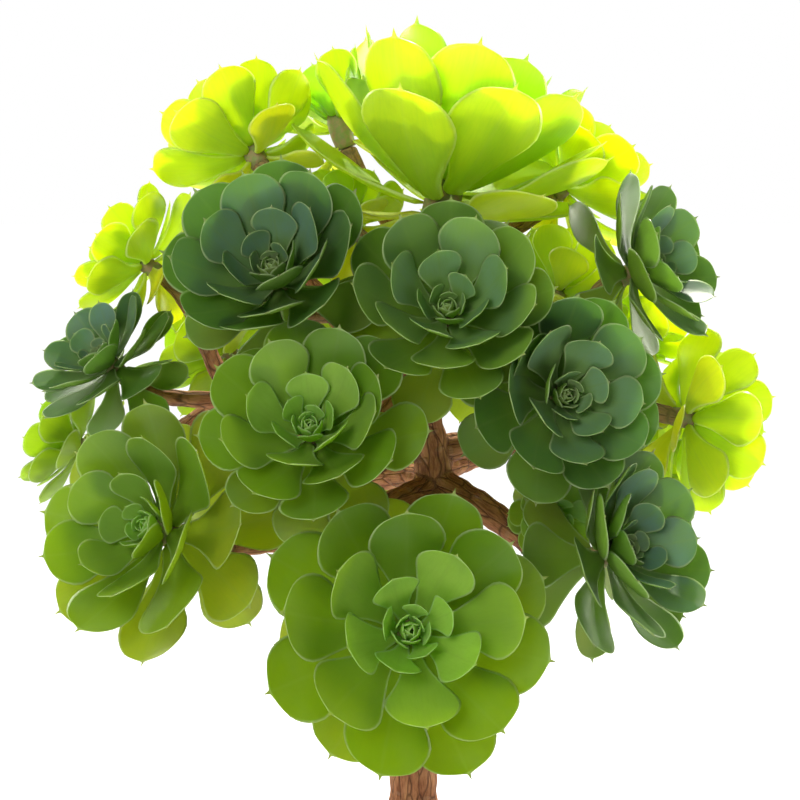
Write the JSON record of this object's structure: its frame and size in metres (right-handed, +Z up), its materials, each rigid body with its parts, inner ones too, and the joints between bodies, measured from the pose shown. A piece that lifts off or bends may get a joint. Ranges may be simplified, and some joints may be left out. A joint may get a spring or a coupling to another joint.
{
  "type": "potted aeonium",
  "caption": "Tree aeonium in a plain round pot: one bare trunk forks into twigs, each ending in an open head of spoon-shaped leaves.",
  "frame": {"origin": "centre of the pot's flat base, on the surface it stands on", "axes": "+Z up along the trunk, -Y towards the front of the plant, +X to its right as seen from the front"},
  "size_m": [0.4741, 0.4068, 0.7372],
  "materials": {
    "leaf": "satin, slightly waxy leaf skin",
    "bark": "matte, leaf-scarred bark",
    "soil": "matte, crumbly",
    "pot": "matte, unglazed"
  },
  "bodies": {
    "root": {"pot": "pot", "soil": "soil", "stem": "bark", "head_low_front": "leaf", "head_mid_front": "leaf", "head_mid_left": "leaf", "head_low_left": "leaf", "head_high_left": "leaf", "head_mid_right": "leaf", "head_low_right": "leaf", "head_top": "leaf", "head_top_left": "leaf", "head_left": "leaf", "head_left_high": "leaf", "head_right_high": "leaf", "head_right": "leaf", "head_rear_far_left": "leaf", "head_rear_left": "leaf", "head_rear_low": "leaf", "head_rear_right": "leaf", "head_rear_mid_right": "leaf", "head_rear_mid": "leaf", "head_rear_mid_left": "leaf", "head_rear_top": "leaf", "head_rear_high_right": "leaf", "head_rear_far_right": "leaf", "head_under_right": "leaf", "head_rear_inner_right": "leaf", "head_rear_inner_left": "leaf"}
  },
  "joints": []
}
